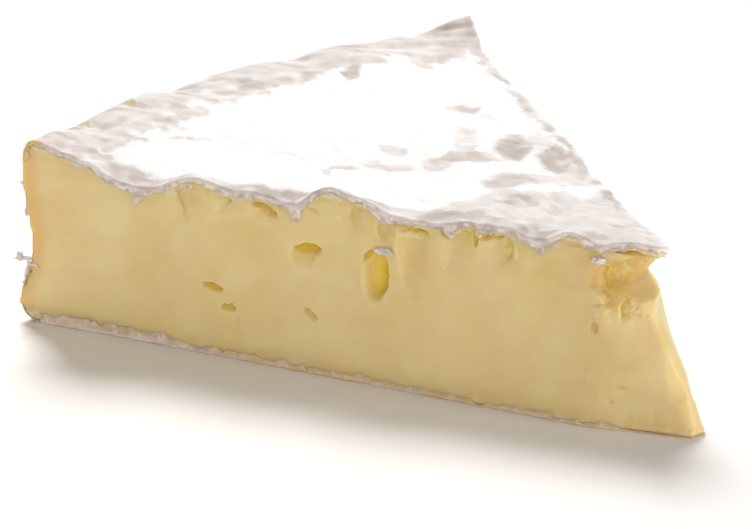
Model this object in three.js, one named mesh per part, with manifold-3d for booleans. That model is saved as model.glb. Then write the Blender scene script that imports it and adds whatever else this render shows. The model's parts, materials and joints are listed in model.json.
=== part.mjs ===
// Wedge of brie: one seventh of a soft white-rinded wheel, cut with a knife and standing on its rind.
// The point is at +X, the curved outside of the wheel at -X, and the cut face with the gas holes at -Y.
// Everything is in millimetres, with +Z up and the middle of the base at the origin.
// While it is being shaped the wheel's centre is the origin and the wedge runs towards -X.
// A place is given by its distance from the wheel's centre and its turn, which is less than 0 at the front.

import * as THREE from 'three';
import { mergeVertices } from 'three/addons/utils/BufferGeometryUtils.js';
import Module from 'manifold-3d';

const { degToRad, lerp, smoothstep } = THREE.MathUtils;

// Driving dimensions
const WHEEL_RADIUS = 115;
const WHEEL_HEIGHT = 30;
const WEDGE_ANGLE = degToRad(52);
const RIND = 1.6; // thickness of the rind where the knife shows it
const POINT_CUT = 1.6; // how far from the wheel's centre the point is worn off

// The wheel's rim stands higher than its middle, highest where the knife lifted its two corners
const RIM_RISE = 1;
const RIM_WIDTH = 19;
const CORNER_LIFT = 3.2;
const CORNER_REACH = 12;
const CORNER_SHARPNESS = 6;
const SHOULDER = 1.8; // radius of the outside's upper edge
const EDGE_SAG = 0.7; // how far the top droops towards the cuts

// The outside bulges just above its rounded foot and is slightly hollow half way up
const FOOT = 3;
const BELLY = { up: 4, reach: 7, out: 1.9 };
const HOLLOW = { up: 15, reach: 9, out: -0.6 };
const OUTSIDE_BLEND = 8; // over this distance a cut takes on the outline of the outside

// Ripe paste creeps out at the foot of a cut, most of all near the point
const SLUMP = 7.2;
const SLUMP_POWER = 1.2;
const POINT_REACH = 12;
const POINT_SHARE = 0.15; // share of the slump that is left at the very point
const POINT_CREEP = 5; // how far the foot of the point creeps forward

// Under the rind the paste of the point has broken away
const BREAK_DEPTH = 7.5;
const BREAK_UP = 25;
const BREAK_REACH = 9;

// The rind stands proud of the paste along a cut, over a narrow ledge
const LIP = 0.55;
const BASE_LIP = 0.35;
const LEDGE = 0.3;
const TEAR_BAND = 3.4; // the finer part of the mesh under the ledge

// Mesh
const ROWS = 54; // from the point to the start of the shoulder
const SHOULDER_STEPS = 3;
const MIDDLE_LEVELS = 8;

// Dents of the top, where a depth less than 0 is a swell; turns are in degrees
const TOP_DENTS = [
  { along: 103, turn: -26, reach: 8, depth: -1 }, // along the front cut, from the rim to the point
  { along: 94.5, turn: -26, reach: 13, depth: 1.6 },
  { along: 84, turn: -26, reach: 8, depth: -1.7 },
  { along: 66.5, turn: -26, reach: 6, depth: 1.4 },
  { along: 59, turn: -26, reach: 6.5, depth: -3.2 },
  { along: 53, turn: -26, reach: 4.5, depth: -2.2 },
  { along: 39.5, turn: -26, reach: 6, depth: 0.6 },
  { along: 34.5, turn: -26, reach: 4, depth: -0.6 },
  { along: 22.3, turn: -26, reach: 4.5, depth: 0.9 },
  { along: 17, turn: -26, reach: 5, depth: -1.9 },
  { along: 7, turn: -26, reach: 5, depth: -1 },
  { along: 50.6, turn: 14, reach: 9, depth: 1.9 }, // two round dents near the far cut
  { along: 42, turn: 19.5, reach: 9, depth: 2.1 },
  { along: 46, turn: -21, reach: 7, depth: 0.8 }, // groove across the middle
  { along: 43, turn: -12, reach: 8, depth: 1.1 },
  { along: 43, turn: -1.5, reach: 8, depth: 1.1 },
  { along: 47, turn: 6, reach: 7, depth: 0.9 },
  { along: 30, turn: 6, reach: 11, depth: 0.9 }, // broad sags
  { along: 30, turn: -12, reach: 8, depth: 0.7 },
  { along: 61, turn: 0, reach: 10, depth: 0.6 },
  { along: 70, turn: 15, reach: 9, depth: 0.9 },
  { along: 93, turn: -12, reach: 16, depth: 1.3 }, // valley inside the rim
  { along: 94, turn: 4, reach: 15, depth: 1.2 },
  { along: 94, turn: 19, reach: 14, depth: 1.4 },
];

// Tears that the knife left in the paste under the rind: where along the cut, and how far they run down
const FRONT_TEARS = [
  { along: 108, halfWidth: 4, depth: 0.5, length: 4 },
  { along: 85.5, halfWidth: 2.8, depth: 1.3, length: 7 },
  { along: 78, halfWidth: 2.2, depth: 0.9, length: 3.5 },
  { along: 71, halfWidth: 3, depth: 1.1, length: 4 },
  { along: 55, halfWidth: 2.8, depth: 1.1, length: 6 },
  { along: 49.5, halfWidth: 2.4, depth: 1.1, length: 7 },
  { along: 43.5, halfWidth: 3.6, depth: 1.4, length: 13 },
  { along: 36, halfWidth: 3.2, depth: 1.1, length: 8 },
  { along: 28.5, halfWidth: 3.4, depth: 1.5, length: 6 },
  { along: 7, halfWidth: 5.5, depth: 1.5, length: 9 },
];

// Tongues of rind that the knife dragged down over the paste
const FRONT_DRAGS = [
  { along: 94.3, halfWidth: 3.4, drop: 1.5 },
  { along: 65.3, halfWidth: 3, drop: 1.4 },
  { along: 38.4, halfWidth: 2.8, drop: 0.9 },
  { along: 22.4, halfWidth: 2.8, drop: 1.3 },
  { along: 12, halfWidth: 2.4, drop: 0.8 },
];

// Gas holes that the front cut opened: tilts are in degrees, up towards the point
const FRONT_HOLES = [
  { along: 50.2, up: 19.2, halfWidth: 2.3, halfHeight: 4.5, depth: 4.5, tilt: 6 },
  { along: 63, up: 21.6, halfWidth: 2.6, halfHeight: 1.3, depth: 3.2, tilt: 16 },
  { along: 80.3, up: 11.9, halfWidth: 1.7, halfHeight: 0.9, depth: 1.8, tilt: -12 },
  { along: 77.3, up: 8.6, halfWidth: 1.3, halfHeight: 0.7, depth: 1.2, tilt: 0 },
  { along: 62.2, up: 10.3, halfWidth: 1.3, halfHeight: 0.8, depth: 1.2, tilt: -38 },
  { along: 12.6, up: 16.4, halfWidth: 0.8, halfHeight: 1, depth: 1, tilt: 0 },
];

// The far cut has as many of each as a knife usually leaves, scattered by a rule
const BACK_TEARS = 9;
const BACK_DRAGS = 4;
const BACK_HOLES = 5;
const BACK_SLUMP_SHARE = 0.8;
const SEED = 7;

const half = WEDGE_ANGLE / 2;
const smooth = (t) => smoothstep(t, 0, 1);
const bump = (distance, reach) => 1 - smooth(Math.abs(distance) / reach);
const sumOf = (list, value) => list.reduce((sum, item) => sum + value(item), 0);

// A repeatable random number from low to high, by a small linear congruential generator
function randomFrom(seed) {
  let state = seed;
  return (low, high) => {
    state = (state * 1664525 + 1013904223) % 2 ** 32;
    return lerp(low, high, state / 2 ** 32);
  };
}

// Places spread along the far cut, each moved by up to a third of a step
function spreadAlong(count, random, make) {
  const step = (WHEEL_RADIUS - 2 * POINT_REACH) / count;
  return Array.from({ length: count }, (unused, i) =>
    ({ along: POINT_REACH + step * (i + 0.5 + random(-0.33, 0.33)), ...make() }));
}

function backCut() {
  const random = randomFrom(SEED);
  const tear = () => ({ halfWidth: random(2.4, 4), depth: random(0.8, 1.7), length: random(4, 11) });
  const drag = () => ({ halfWidth: random(2.4, 3.4), drop: random(0.7, 1.6) });
  const hole = () => ({
    up: random(8, 21),
    halfWidth: random(1, 2.6),
    halfHeight: random(0.8, 1.8),
    depth: random(1.6, 2.6),
    tilt: random(-20, 20),
  });
  return {
    side: 1,
    slump: BACK_SLUMP_SHARE * SLUMP,
    tears: spreadAlong(BACK_TEARS, random, tear),
    drags: spreadAlong(BACK_DRAGS, random, drag),
    holes: spreadAlong(BACK_HOLES, random, hole),
  };
}

const FRONT = { side: -1, slump: SLUMP, tears: FRONT_TEARS, drags: FRONT_DRAGS, holes: FRONT_HOLES };
const BACK = backCut();

// The point at a distance and turn, at base height
function place(along, turn) {
  return new THREE.Vector3(-along * Math.cos(turn), along * Math.sin(turn), 0);
}

// Direction that faces out of a cut
const outOfCut = (cut) => new THREE.Vector3(Math.sin(half), cut.side * Math.cos(half), 0);

// Irregular swell of the whole top, with wavelengths from 20 to 60 mm
function swell(x, y) {
  return 0.35 * Math.sin(x / 7.1 + y / 11 + 0.6)
    + 0.3 * Math.sin(x / 10.3 - y / 6.2 + 2.1)
    + 0.16 * Math.sin(x / 3.9 + y / 5.3 + 4);
}

// Height of the top above the base, before the shoulder rounds it off
function topHeight(along, turn) {
  const p = place(along, turn);
  const nearRim = smooth((along - WHEEL_RADIUS + RIM_WIDTH) / RIM_WIDTH);
  const nearCorner = smooth((along - WHEEL_RADIUS + CORNER_REACH) / CORNER_REACH)
    * Math.abs(turn / half) ** CORNER_SHARPNESS;
  const crumple = 0.35 * Math.sin(turn * 31 + 1) + 0.25 * Math.sin(turn * 53 + along / 4);
  const sag = EDGE_SAG * Math.abs(turn / half) ** 3 * smooth(along / POINT_REACH);
  const dents = sumOf(TOP_DENTS, (d) =>
    d.depth * bump(p.distanceTo(place(d.along, degToRad(d.turn))), d.reach));
  const rim = (RIM_RISE + crumple) * nearRim + CORNER_LIFT * nearCorner;
  return WHEEL_HEIGHT + rim + swell(p.x, p.y) - sag - dents;
}

// How far a cut leans out at a height: nothing under the rind, the full slump at the base
function leanOut(cut, along, up) {
  const full = cut.slump * Math.max(0, 1 - along / WHEEL_RADIUS) ** SLUMP_POWER;
  const nearPoint = lerp(POINT_SHARE, 1, smooth(along / POINT_REACH));
  return full * nearPoint * Math.max(0, 1 - up / WHEEL_HEIGHT);
}

// Slow waves that the knife left in the paste
function knifeWave(along, up) {
  return 0.22 * Math.sin(along / 6.3 + up / 14) + 0.12 * Math.sin(along / 2.9 - up / 8 + 1);
}

function rindThickness(cut, along) {
  const drags = sumOf(cut.drags, (d) => d.drop * bump(along - d.along, d.halfWidth));
  return RIND + 0.25 * Math.sin(along * 1.7) + drags;
}

// The outline of the wheel's outside: how far it stands out at a height
function outsideRelief(turn, up) {
  const foot = up < FOOT ? FOOT - Math.sqrt(FOOT ** 2 - (FOOT - up) ** 2) : 0;
  const lumps = 0.3 * Math.sin(turn * 23 + up / 5) + 0.18 * Math.sin(turn * 47 - up / 3);
  const bands = sumOf([BELLY, HOLLOW], (b) => b.out * bump(up - b.up, b.reach));
  return bands + lumps * smooth(up / FOOT) - 0.8 * foot;
}

// Heights of the mesh's levels, from the base up, crowded together at the two rinds
function levelHeights(top, rind) {
  const ledge = top - rind - LEDGE;
  const middle = Array.from({ length: MIDDLE_LEVELS }, (unused, i) =>
    lerp(FOOT, ledge - TEAR_BAND, i / (MIDDLE_LEVELS - 1)));
  return [0, 0.5, 0.85 * RIND, ...middle, ledge - 1.4, ledge, top - rind, top - 0.6, top];
}

// How far a cut stands out of its plane at each level: the base's rind, the paste, the top's rind
function cutRelief(cut, along, heights, rind) {
  const ledge = heights[heights.length - 1] - rind - LEDGE;
  const lean = (up) => leanOut(cut, along, up);
  const tears = (up) => sumOf(cut.tears, (t) =>
    t.depth * bump(along - t.along, t.halfWidth) * bump(ledge - up, t.length));
  const paste = heights.slice(3, -3).map((up) => lean(up) + knifeWave(along, up) - tears(up));
  return [lean(0) - 0.2, lean(0.5) + BASE_LIP, lean(RIND) + BASE_LIP, ...paste, 0.6 * LIP, LIP, 0.3 * LIP];
}

// How far the paste of the point has broken back, with a rounded edge
function breakBack(along, up) {
  const depth = BREAK_DEPTH * bump(Math.max(0, BREAK_UP - up), BREAK_REACH);
  return (depth - along + Math.hypot(depth - along, depth / 2)) / 2;
}

// One column of a cut, as points from the base to the top
function cutColumn(cut, row) {
  const turn = cut.side * half;
  const rind = rindThickness(cut, row.along);
  const heights = levelHeights(topHeight(row.along, turn) - row.drop, rind);
  const relief = cutRelief(cut, row.along, heights, rind);
  const nearOutside = smooth((row.along - WHEEL_RADIUS + OUTSIDE_BLEND) / OUTSIDE_BLEND);
  const nearPoint = bump(row.along, POINT_REACH);
  return heights.map((up, level) => {
    const isPaste = level < heights.length - 3;
    const creep = POINT_CREEP * nearPoint * Math.max(0, 1 - up / WHEEL_HEIGHT);
    const broken = isPaste ? breakBack(row.along, up) : 0;
    return place(row.along + nearOutside * outsideRelief(turn, up), turn)
      .addScaledVector(outOfCut(cut), relief[level])
      .add(new THREE.Vector3(creep - broken, 0, up));
  });
}

// One column of the wheel's outside
function outsideColumn(row, turn) {
  const heights = levelHeights(topHeight(row.along, turn) - row.drop, RIND);
  return heights.map((up) => place(row.along + outsideRelief(turn, up), turn).setZ(up));
}

// Rows of the top, from the point to the outside, and how far the shoulder has dropped at each
function topRows() {
  const flatEnd = WHEEL_RADIUS - SHOULDER;
  const flat = Array.from({ length: ROWS + 1 }, (unused, i) =>
    ({ along: lerp(POINT_CUT, flatEnd, i / ROWS), drop: 0 }));
  const shoulder = Array.from({ length: SHOULDER_STEPS }, (unused, i) => {
    const bend = (Math.PI / 2) * ((i + 1) / SHOULDER_STEPS);
    return { along: flatEnd + SHOULDER * Math.sin(bend), drop: SHOULDER * (1 - Math.cos(bend)) };
  });
  return [...flat, ...shoulder];
}

// Every column round the wedge: the front cut, the outside, and the far cut back to the point
function columnsRound(rows) {
  const cells = rows.length;
  const rim = rows[cells - 1];
  const outside = Array.from({ length: cells - 1 }, (unused, j) =>
    outsideColumn(rim, -half + WEDGE_ANGLE * ((j + 1) / cells)));
  const front = rows.map((row) => cutColumn(FRONT, row));
  const back = rows.map((row) => cutColumn(BACK, row));
  return [...front, ...outside, ...back.reverse()];
}

// The top as rows of points, each row with one cell more than the row before it
function topLattice(rows, columns) {
  const topOf = (column) => column[column.length - 1];
  const last = rows.length - 1;
  return rows.map((row, i) => {
    if (i === last) return columns.slice(i, i + rows.length + 1).map(topOf);
    const cells = i + 1;
    return Array.from({ length: cells + 1 }, (unused, j) => {
      if (j === 0) return topOf(columns[i]);
      if (j === cells) return topOf(columns[columns.length - 1 - i]);
      const turn = -half + WEDGE_ANGLE * (j / cells);
      return place(row.along, turn).setZ(topHeight(row.along, turn) - row.drop);
    });
  });
}

// The closed skin of the wedge, as triangles that face out
function wedgeTriangles() {
  const rows = topRows();
  const columns = columnsRound(rows);
  const lattice = topLattice(rows, columns);
  const triangles = [];
  for (let i = 0; i < lattice.length - 1; i += 1) {
    const near = lattice[i];
    const far = lattice[i + 1];
    near.forEach((point, j) => triangles.push([point, far[j + 1], far[j]]));
    for (let j = 0; j < near.length - 1; j += 1) triangles.push([near[j], near[j + 1], far[j + 1]]);
  }
  const baseMiddle = place(WHEEL_RADIUS / 2, 0);
  columns.forEach((column, i) => {
    const next = columns[(i + 1) % columns.length];
    for (let k = 0; k < column.length - 1; k += 1) {
      triangles.push([next[k], column[k], column[k + 1]], [next[k], column[k + 1], next[k + 1]]);
    }
    triangles.push([column[0], next[0], baseMiddle]);
  });
  return triangles;
}

const wasm = await Module();
wasm.setup();

function solidOf(geometry) {
  const bare = geometry.clone();
  bare.deleteAttribute('normal');
  bare.deleteAttribute('uv');
  const merged = mergeVertices(bare);
  return new wasm.Manifold(new wasm.Mesh({
    numProp: 3,
    vertProperties: new Float32Array(merged.attributes.position.array),
    triVerts: new Uint32Array(merged.index.array),
  }));
}

function wedgeSolid() {
  const geometry = new THREE.BufferGeometry().setFromPoints(wedgeTriangles().flat());
  return solidOf(geometry);
}

// A gas bubble that the knife opened: a squashed, slightly lopsided ball half sunk in the cut
function gasHole(cut, hole) {
  const ball = new THREE.SphereGeometry(1, 14, 10);
  const points = ball.attributes.position;
  for (let i = 0; i < points.count; i += 1) {
    const lopsided = 1 + 0.12 * Math.sin(3 * points.getX(i) + 2 * points.getY(i) + hole.along);
    points.setXYZ(i, points.getX(i) * lopsided, points.getY(i) * lopsided, points.getZ(i));
  }
  const surface = leanOut(cut, hole.along, hole.up) + knifeWave(hole.along, hole.up);
  const centre = place(hole.along, cut.side * half).addScaledVector(outOfCut(cut), surface);
  ball.scale(hole.halfWidth, hole.halfHeight, hole.depth);
  ball.rotateZ(degToRad(hole.tilt));
  ball.rotateX(Math.PI / 2);
  ball.rotateZ(-cut.side * half);
  ball.translate(centre.x, centre.y, hole.up);
  return solidOf(ball);
}

// The cheese, moved so that the middle of its base is the origin
function brieWedge() {
  const holes = [FRONT, BACK].flatMap((cut) => cut.holes.map((hole) => gasHole(cut, hole)));
  const solid = holes.reduce((cheese, hole) => cheese.subtract(hole), wedgeSolid());
  const { vertProperties, triVerts } = solid.getMesh();
  const geometry = new THREE.BufferGeometry();
  geometry.setAttribute('position', new THREE.BufferAttribute(vertProperties, 3));
  geometry.setIndex(new THREE.BufferAttribute(triVerts, 1));
  geometry.computeBoundingBox();
  const middle = geometry.boundingBox.getCenter(new THREE.Vector3());
  geometry.translate(-middle.x, -middle.y, -geometry.boundingBox.min.z);
  geometry.computeVertexNormals();
  const softCheese = new THREE.MeshStandardMaterial({ color: 0xe9dcb6, roughness: 0.6, metalness: 0 });
  const mesh = new THREE.Mesh(geometry, softCheese);
  mesh.name = 'brie_wedge';
  return mesh;
}

const brie = new THREE.Group();
brie.add(brieWedge());

export default brie;
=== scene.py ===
# Wedge of brie: ripe paste inside a white mould rind, standing on a pale table in soft light from behind.
# The point is at +X, the curved outside of the wheel at -X, and the cut that faces the camera at -Y.
# A place on a cut is given by its distance along the cut from the wheel's centre, and its height.

import json
import math
import random

import bmesh
import bpy
from mathutils import Matrix, Vector, noise
from mathutils.bvhtree import BVHTree

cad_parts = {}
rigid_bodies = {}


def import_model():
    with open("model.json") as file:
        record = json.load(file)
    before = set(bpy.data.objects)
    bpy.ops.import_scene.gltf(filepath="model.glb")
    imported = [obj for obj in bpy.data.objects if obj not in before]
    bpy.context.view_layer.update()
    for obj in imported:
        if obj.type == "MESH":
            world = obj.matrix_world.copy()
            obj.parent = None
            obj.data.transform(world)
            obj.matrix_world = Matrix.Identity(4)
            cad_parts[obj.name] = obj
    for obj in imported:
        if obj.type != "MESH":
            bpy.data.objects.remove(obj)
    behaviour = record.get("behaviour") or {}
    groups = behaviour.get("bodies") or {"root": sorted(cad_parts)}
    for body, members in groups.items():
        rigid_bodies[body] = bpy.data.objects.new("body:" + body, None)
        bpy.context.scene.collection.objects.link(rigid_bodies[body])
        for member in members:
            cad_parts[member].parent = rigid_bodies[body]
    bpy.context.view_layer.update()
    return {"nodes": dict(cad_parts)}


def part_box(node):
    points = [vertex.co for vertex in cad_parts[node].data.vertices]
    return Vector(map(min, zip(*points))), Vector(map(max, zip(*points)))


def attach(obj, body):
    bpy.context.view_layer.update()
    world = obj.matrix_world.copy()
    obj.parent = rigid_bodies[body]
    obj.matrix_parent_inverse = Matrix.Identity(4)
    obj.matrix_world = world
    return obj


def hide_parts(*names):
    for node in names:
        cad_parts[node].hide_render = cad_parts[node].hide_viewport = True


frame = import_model()

MM = 0.001
CAD_NODE = "brie_wedge"
WHEEL_RADIUS = 115 * MM
HALF_ANGLE = math.radians(26)
FOOT_AHEAD = 3.98 * MM  # how far the foot of the point stands ahead of the wheel's centre
RIND = 1.3 * MM
SEED = 11

lowest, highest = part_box(CAD_NODE)
WHEEL_CENTRE = Vector((highest.x - FOOT_AHEAD, 0.07 * MM, 0))
UP = Vector((0, 0, 1))

# Each cut as its direction away from the wheel's centre and the direction that it faces
FRONT = {
    "side": -1,
    "run": Vector((-math.cos(HALF_ANGLE), -math.sin(HALF_ANGLE), 0)),
    "out": Vector((math.sin(HALF_ANGLE), -math.cos(HALF_ANGLE), 0)),
}
BACK = {
    "side": 1,
    "run": Vector((-math.cos(HALF_ANGLE), math.sin(HALF_ANGLE), 0)),
    "out": Vector((math.sin(HALF_ANGLE), math.cos(HALF_ANGLE), 0)),
}

# How far the foot of the point is spread forward: height and distance, in mm
FOOT_FLARE = [(0, 3.8), (3, 3.4), (5, 2.8), (7.3, 2.0), (10.3, 1.2), (13.4, 0.1), (14, 0)]

# Where the rind's lower edge hangs down over the front cut as a tongue: along, half width, extra length
FRONT_TONGUES = [
    (104, 3.0, 0.3),
    (94.6, 2.0, 1.5),
    (87.5, 1.8, -0.3),
    (84.6, 0.7, 0.6),
    (79.5, 1.0, 0.4),
    (74.0, 2.0, 0.4),
    (65.6, 1.2, 2.9),
    (61.5, 2.5, -0.5),
    (52.2, 1.2, -0.4),
    (48.9, 1.4, 0.6),
    (43.3, 3.0, -0.4),
    (38.4, 1.4, 1.3),
    (34.5, 1.2, -0.6),
    (32.7, 0.8, 1.6),
    (29.0, 1.6, -0.5),
    (22.4, 1.9, 1.9),
    (16.5, 2.6, -0.7),
    (11.8, 1.3, 0.9),
    (7.0, 2.2, -0.4),
]

# Places of the top where the rind is dented and painted grey as shade, seen from the wheel's centre: x, y,
# half length, half width and heading of the length, and strength; in mm and degrees
SHADED_DENTS = [
    (-53.7, 15.9, 5.4, 2.9, -48, 0.9),
    (-51.5, 20.1, 6.1, 1.8, -43, 0.4),
    (-45.1, 17.4, 4.6, 2.9, -38, 1.0),
    (-54.3, 6.4, 5.4, 2.4, 58, 0.85),
    (-55.3, -0.4, 3.2, 2.3, -42, 0.6),
    (-61.4, 12.0, 9.0, 2.2, -43, 0.5),
    (-73.9, 23.0, 2.8, 1.6, 40, 0.7),
    (-41.7, 4.4, 4.5, 3.6, 32, 0.75),
    (-33.7, -2.1, 3.6, 2.5, 63, 0.85),
    (-32.2, -12.7, 3.8, 2.0, -43, 0.9),
    (-37.3, 16.9, 3.2, 1.7, -44, 0.6),
    (-12.9, 3.1, 2.8, 1.6, 66, 0.8),
    (-27.2, 0.8, 2.8, 1.6, -44, 0.7),
    (-22.0, -9.6, 3.4, 1.3, -72, 0.9),
    (-65.2, -0.9, 2.9, 2.1, -42, 0.6),
    (-60.1, -6.5, 5.0, 1.9, 30, 0.6),
    (-64.5, -16.7, 1.8, 0.9, -41, 0.5),
    (-64.7, -13.7, 3.7, 0.6, 58, 0.5),
    (-99.4, 18.8, 3.6, 1.9, -41, 0.95),
    (-100.7, 45.9, 3.4, 2.6, 40, 0.5),
    (-107.2, 1.7, 3.6, 2.4, 65, 0.9),
    (-108.1, -21.6, 2.6, 1.6, 64, 0.9),
    (-103.6, -33.7, 2.8, 1.1, -30, 0.6),
    (-98.7, -37.7, 2.8, 1.1, -30, 0.6),
    (-94.5, -21.9, 4.5, 0.5, 58, 0.5),
    (-98.2, -20.3, 1.4, 0.5, 63, 0.5),
]

# Spots of the shaded end near the point where no shade is painted, so that the rind stays white, in the same way
UNSHADED_SPOTS = [(-30.7, 10.1, 2.6, 2.2, -44, 1.0), (-35.4, 4.9, 4.4, 1.5, 57, 1.0)]

# Painted shade on the top: the shaded end near the point starts here, and the shaded band round the outside is so
# wide, in mm
SHADED_END = -43
SHADED_RIM = 13

# Width of the band of painted shade beside the front cut, as distance along it and width in mm
SHADED_BAND = [(0, 2.5), (30, 3.0), (40, 5.0), (48, 3.4), (56, 2.2), (72, 2.8), (90, 3.2), (98, 6.0), (115, 8.5)]

# Spots where the rim has gone tan: x, y and radius from the wheel's centre, in mm
TAN_SPOTS = [(-104.0, -50.3, 2.2), (-107.3, -34.7, 1.6), (-110.0, -22.9, 1.9), (-110.4, -11.2, 1.1)]


def smooth(t):
    """Smooth step from 0 to 1."""
    t = min(1, max(0, t))
    return t * t * (3 - 2 * t)


def bump(distance, reach):
    """1 in the middle, 0 from the reach outwards."""
    return 1 - smooth(abs(distance) / reach)


def wave(place, size, seed=0):
    """Smooth noise from -1 to 1 with lumps of about the given size."""
    return noise.noise(place / size + Vector((seed * 17.3, seed * 5.1, seed * 9.7)))


def cut_of(place):
    """The cut on whose side of the wedge a place lies."""
    return FRONT if place.y < 0 else BACK


def along(cut, place):
    return (place - WHEEL_CENTRE).dot(cut["run"])


def on_cut(cut, distance, up, out=0.0):
    """The place at a distance and height on a cut, in millimetres, and some way out of it."""
    return WHEEL_CENTRE + cut["run"] * distance * MM + UP * up * MM + cut["out"] * out * MM


def make_active(piece):
    bpy.ops.object.select_all(action="DESELECT")
    piece.select_set(True)
    bpy.context.view_layer.objects.active = piece


def edit(piece):
    """Edit mode on a piece, with nothing selected."""
    make_active(piece)
    bpy.ops.object.mode_set(mode="EDIT")
    bpy.ops.mesh.select_mode(type="FACE")
    bpy.ops.mesh.select_all(action="DESELECT")


def leave_edit():
    bpy.ops.object.mode_set(mode="OBJECT")


def pick_faces(piece, test):
    """Selects the faces, in edit mode, that a test of their middle and normal picks."""
    mesh = bmesh.from_edit_mesh(piece.data)
    mesh.faces.ensure_lookup_table()
    for face in mesh.faces:
        face.select_set(test(face.calc_center_median(), face.normal))
    mesh.select_flush(True)
    bmesh.update_edit_mesh(piece.data)


def apply_modifier(piece, kind, **settings):
    """Adds a modifier with its settings and applies it at once."""
    make_active(piece)
    made = piece.modifiers.new(kind.lower(), kind)
    for name, value in settings.items():
        setattr(made, name, value)
    bpy.ops.object.modifier_apply(modifier=made.name)


def join(pieces):
    """Joins pieces into the first one."""
    make_active(pieces[0])
    for piece in pieces[1:]:
        piece.select_set(True)
    bpy.ops.object.join()
    return pieces[0]


def settle(piece):
    """Puts a finished piece's place, turn and size into its mesh."""
    make_active(piece)
    bpy.ops.object.transform_apply(location=True, rotation=True, scale=True)


def move_points(piece, move):
    """Moves every point of a piece by what a function of its place and normal gives."""
    mesh = piece.data
    moves = [move(v.co.copy(), v.normal.copy()) for v in mesh.vertices]
    for vertex, by in zip(mesh.vertices, moves):
        vertex.co += by
    mesh.update()


def paint(piece, name, value):
    """Stores what a function of place and normal gives at every point as a named attribute."""
    mesh = piece.data
    layer = mesh.attributes.new(name, "FLOAT", "POINT")
    values = [value(v.co.copy(), v.normal.copy()) for v in mesh.vertices]
    layer.data.foreach_set("value", values)


def at_height(profile, up):
    """The value of a profile, given as height and value pairs, at a height."""
    for (low, first), (high, last) in zip(profile, profile[1:]):
        if up < high:
            return first + (last - first) * max(0, (up - low) / (high - low))
    return profile[-1][1]


def flare_foot(place, normal):
    """Spreads the foot of the point forward, where the soft paste has sagged."""
    rel = (place - WHEEL_CENTRE) / MM
    near = smooth((rel.x + 7) / 9)
    return Vector((at_height(FOOT_FLARE, rel.z) * near, -0.25 * rel.y * near * (rel.z < 8), 0)) * MM


def plain_copy(name):
    """A copy of the plain wedge with its loose triangles merged and its foot flared."""
    piece = bpy.data.objects.new(name, frame["nodes"][CAD_NODE].data.copy())
    bpy.context.scene.collection.objects.link(piece)
    piece.data.materials.clear()
    edit(piece)
    bpy.ops.mesh.select_all(action="SELECT")
    bpy.ops.mesh.remove_doubles(threshold=0.01 * MM)
    bpy.ops.mesh.customdata_custom_splitnormals_clear()
    leave_edit()
    move_points(piece, flare_foot)
    return piece


def is_cut_face(middle, normal):
    """True for the faces of both cuts and of the blunt point between them."""
    faces_out = max(normal.dot(FRONT["out"]), normal.dot(BACK["out"]))
    at_point = middle.x > WHEEL_CENTRE.x - 12 * MM and normal.x > 0.5
    return faces_out > 0.6 or at_point


def bare_skin(name):
    """The skin of the wedge without its cuts: the top, the outside and the base as one open sheet."""
    skin = plain_copy(name)
    edit(skin)
    pick_faces(skin, is_cut_face)
    bpy.ops.mesh.delete(type="FACE")
    pick_faces(skin, lambda middle, normal: normal.z > 0.9 and abs(middle.y) < 5 * MM)
    bpy.ops.mesh.select_linked()
    bpy.ops.mesh.select_all(action="INVERT")
    bpy.ops.mesh.delete(type="FACE")
    leave_edit()
    return skin


def edge_ring(skin):
    """The open edge of a sheet as its vertex indices in order."""
    mesh = bmesh.new()
    mesh.from_mesh(skin.data)
    edges = [e for e in mesh.edges if e.is_boundary]
    beside = {}
    for edge in edges:
        a, b = (v.index for v in edge.verts)
        beside.setdefault(a, []).append(b)
        beside.setdefault(b, []).append(a)
    mesh.free()
    start = min(beside)
    ring, before = [start], None
    while True:
        after = next(i for i in beside[ring[-1]] if i != before)
        if after == start:
            return ring
        before = ring[-1]
        ring.append(after)


def out_of(place):
    """Direction that the cut at a place of the skin's edge faces, turning smoothly round the point."""
    across = max(-1, min(1, place.y / (1.2 * MM)))
    return Vector((math.sin(HALF_ANGLE), across * math.cos(HALF_ANGLE), 0)).normalized()


def ragged(place):
    """Torn unevenness of the rind's edge: sharp nicks between rounded bits, 1 to 3 mm apart."""
    nicks = 1 - 3 * abs(wave(place, 2.6 * MM, 3))
    fine = 0.34 * wave(place, 1.1 * MM, 9) + 0.22 * wave(place, 0.55 * MM, 10)
    return 0.35 * (nicks - 0.4) + 0.35 * wave(place, 3.6 * MM, 4) + fine


def on_upright(place):
    """1 on the upright edge at the outside of the wheel, 0 on the upper and lower edges."""
    outside = smooth((along(cut_of(place), place) / MM - 111.5) / 1.5)
    return outside * (1 - smooth((place.z / MM - 28) / 2.5))


def lip_length(place):
    """How far the rind's edge comes over a cut: ragged, with tongues on the front's upper edge."""
    cut = cut_of(place)
    where = along(cut, place) / MM
    near_point = smooth((where - 2) / 6)
    upright = on_upright(place)
    if upright == 1:
        return (0.3 + 0.15 * ragged(place)) * MM
    if place.z < 6 * MM:
        wide = 0.7 + 0.3 * smooth((where - 20) / 30) + 0.8 * smooth((where - 80) / 14)
        wide += ragged(place) + 0.4 * wave(place, 6 * MM, 5)
        return (0.15 + near_point * wide) * MM
    if cut is FRONT:
        strayed = where + 0.9 * wave(place, 2 * MM, 16)
        tongues = sum(extra * bump(strayed - at, reach) for at, reach, extra in FRONT_TONGUES)
    else:
        tongues = 2.4 * max(0, wave(place, 6 * MM, 6))
    inside = smooth((WHEEL_RADIUS - along(cut, place)) / (3 * MM)) * smooth(along(cut, place) / (3 * MM))
    return (0.8 - 0.5 * upright + (0.7 + tongues) * inside + (1.1 - 0.95 * upright) * ragged(place)) * MM


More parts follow.
